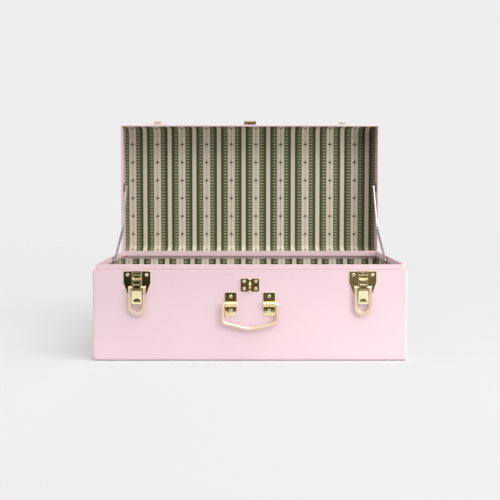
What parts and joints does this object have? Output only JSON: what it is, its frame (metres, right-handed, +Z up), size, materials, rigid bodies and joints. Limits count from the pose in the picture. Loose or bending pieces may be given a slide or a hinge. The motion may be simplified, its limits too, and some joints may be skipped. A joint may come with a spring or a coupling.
{
  "type": "storage trunk",
  "caption": "Low storage trunk of folded painted steel with a hinged lid, lined inside, with draw latches, a hasp, a bail handle and lid stays, shown open.",
  "frame": {"origin": "middle of the underside, on the surface the trunk stands on", "axes": "+X along the trunk to its right-hand end, +Y from the front to the hinges, +Z up"},
  "size_m": [0.6, 0.3761, 0.4859],
  "materials": {
    "painted_steel": "smooth matt pale pink paint",
    "lining": "printed paper in green and cream stripes on board",
    "brass": "polished brass plate",
    "stay_steel": "nickel-plated strip steel"
  },
  "bodies": {
    "base": {"base_wrapper": "painted_steel", "base_end_left": "painted_steel", "base_end_right": "painted_steel", "lining_floor": "lining", "lining_front": "lining", "lining_rear": "lining", "lining_left": "lining", "lining_right": "lining", "hinge_lower_leaf_left": "brass", "hinge_lower_leaf_right": "brass", "hinge_pin_left": "brass", "hinge_pin_right": "brass", "hinge_rivets_body": "brass", "latch_plate_left": "brass", "latch_plate_right": "brass", "latch_axle_left": "brass", "latch_axle_right": "brass", "latch_screws": "brass", "staple_plate": "brass", "staple_screws": "brass", "handle_bracket_left": "brass", "handle_bracket_right": "brass", "handle_screws": "brass", "stay_body_bracket_left": "stay_steel", "stay_body_bracket_right": "stay_steel"},
    "lid": {"lid_wrapper": "painted_steel", "lid_end_left": "painted_steel", "lid_end_right": "painted_steel", "lid_lining": "lining", "hinge_upper_leaf_left": "brass", "hinge_upper_leaf_right": "brass", "hinge_rivets_lid": "brass", "latch_catch_left": "brass", "latch_catch_right": "brass", "catch_screws": "brass", "hasp_leaf": "brass", "hasp_pin": "brass", "hasp_screws": "brass", "stay_lid_bracket_left": "stay_steel", "stay_lid_bracket_right": "stay_steel", "stay_rivet_left": "stay_steel", "stay_rivet_right": "stay_steel"},
    "lever_left": {"latch_lever_left": "brass"},
    "lever_right": {"latch_lever_right": "brass"},
    "loop_left": {"latch_loop_left": "brass"},
    "loop_right": {"latch_loop_right": "brass"},
    "handle": {"handle_bail": "brass"},
    "hasp": {"hasp_strap": "brass"},
    "stay_left": {"stay_arm_left": "stay_steel"},
    "stay_right": {"stay_arm_right": "stay_steel"}
  },
  "joints": [
    {"name": "lid_hinge", "type": "hinge", "parent": "base", "child": "lid", "pos_m": [0, 0.1535, 0.1732], "axis": [1, 0, 0], "range_deg": [0, 90]},
    {"name": "lever_left_pivot", "type": "hinge", "parent": "base", "child": "lever_left", "pos_m": [-0.2145, -0.1544, 0.1574], "axis": [1, 0, 0], "range_deg": [-120, 0]},
    {"name": "lever_right_pivot", "type": "hinge", "parent": "base", "child": "lever_right", "pos_m": [0.2145, -0.1544, 0.1574], "axis": [1, 0, 0], "range_deg": [-120, 0]},
    {"name": "loop_left_pivot", "type": "hinge", "parent": "lever_left", "child": "loop_left", "pos_m": [-0.2145, -0.1544, 0.141], "axis": [-1, 0, 0], "range_deg": [0, 180]},
    {"name": "loop_right_pivot", "type": "hinge", "parent": "lever_right", "child": "loop_right", "pos_m": [0.2145, -0.1544, 0.141], "axis": [-1, 0, 0], "range_deg": [0, 180]},
    {"name": "handle_pivot", "type": "hinge", "parent": "base", "child": "handle", "pos_m": [0, -0.155, 0.1089], "axis": [-1, 0, 0], "range_deg": [0, 150]},
    {"name": "hasp_pivot", "type": "hinge", "parent": "lid", "child": "hasp", "pos_m": [0, 0.1597, 0.4827], "axis": [1, 0, 0], "range_deg": [0, 180]},
    {"name": "stay_left_pivot", "type": "hinge", "parent": "lid", "child": "stay_left", "pos_m": [-0.2899, 0.1706, 0.3321], "axis": [1, 0, 0], "range_deg": [-6.06, 0.01]},
    {"name": "stay_right_pivot", "type": "hinge", "parent": "lid", "child": "stay_right", "pos_m": [0.2899, 0.1706, 0.3321], "axis": [1, 0, 0], "range_deg": [-6.06, 0.01]}
  ],
  "couplings": [
    {"joint": "stay_left_pivot", "follows": "lid_hinge", "ratio": -0.0672},
    {"joint": "stay_right_pivot", "follows": "lid_hinge", "ratio": -0.0672}
  ]
}
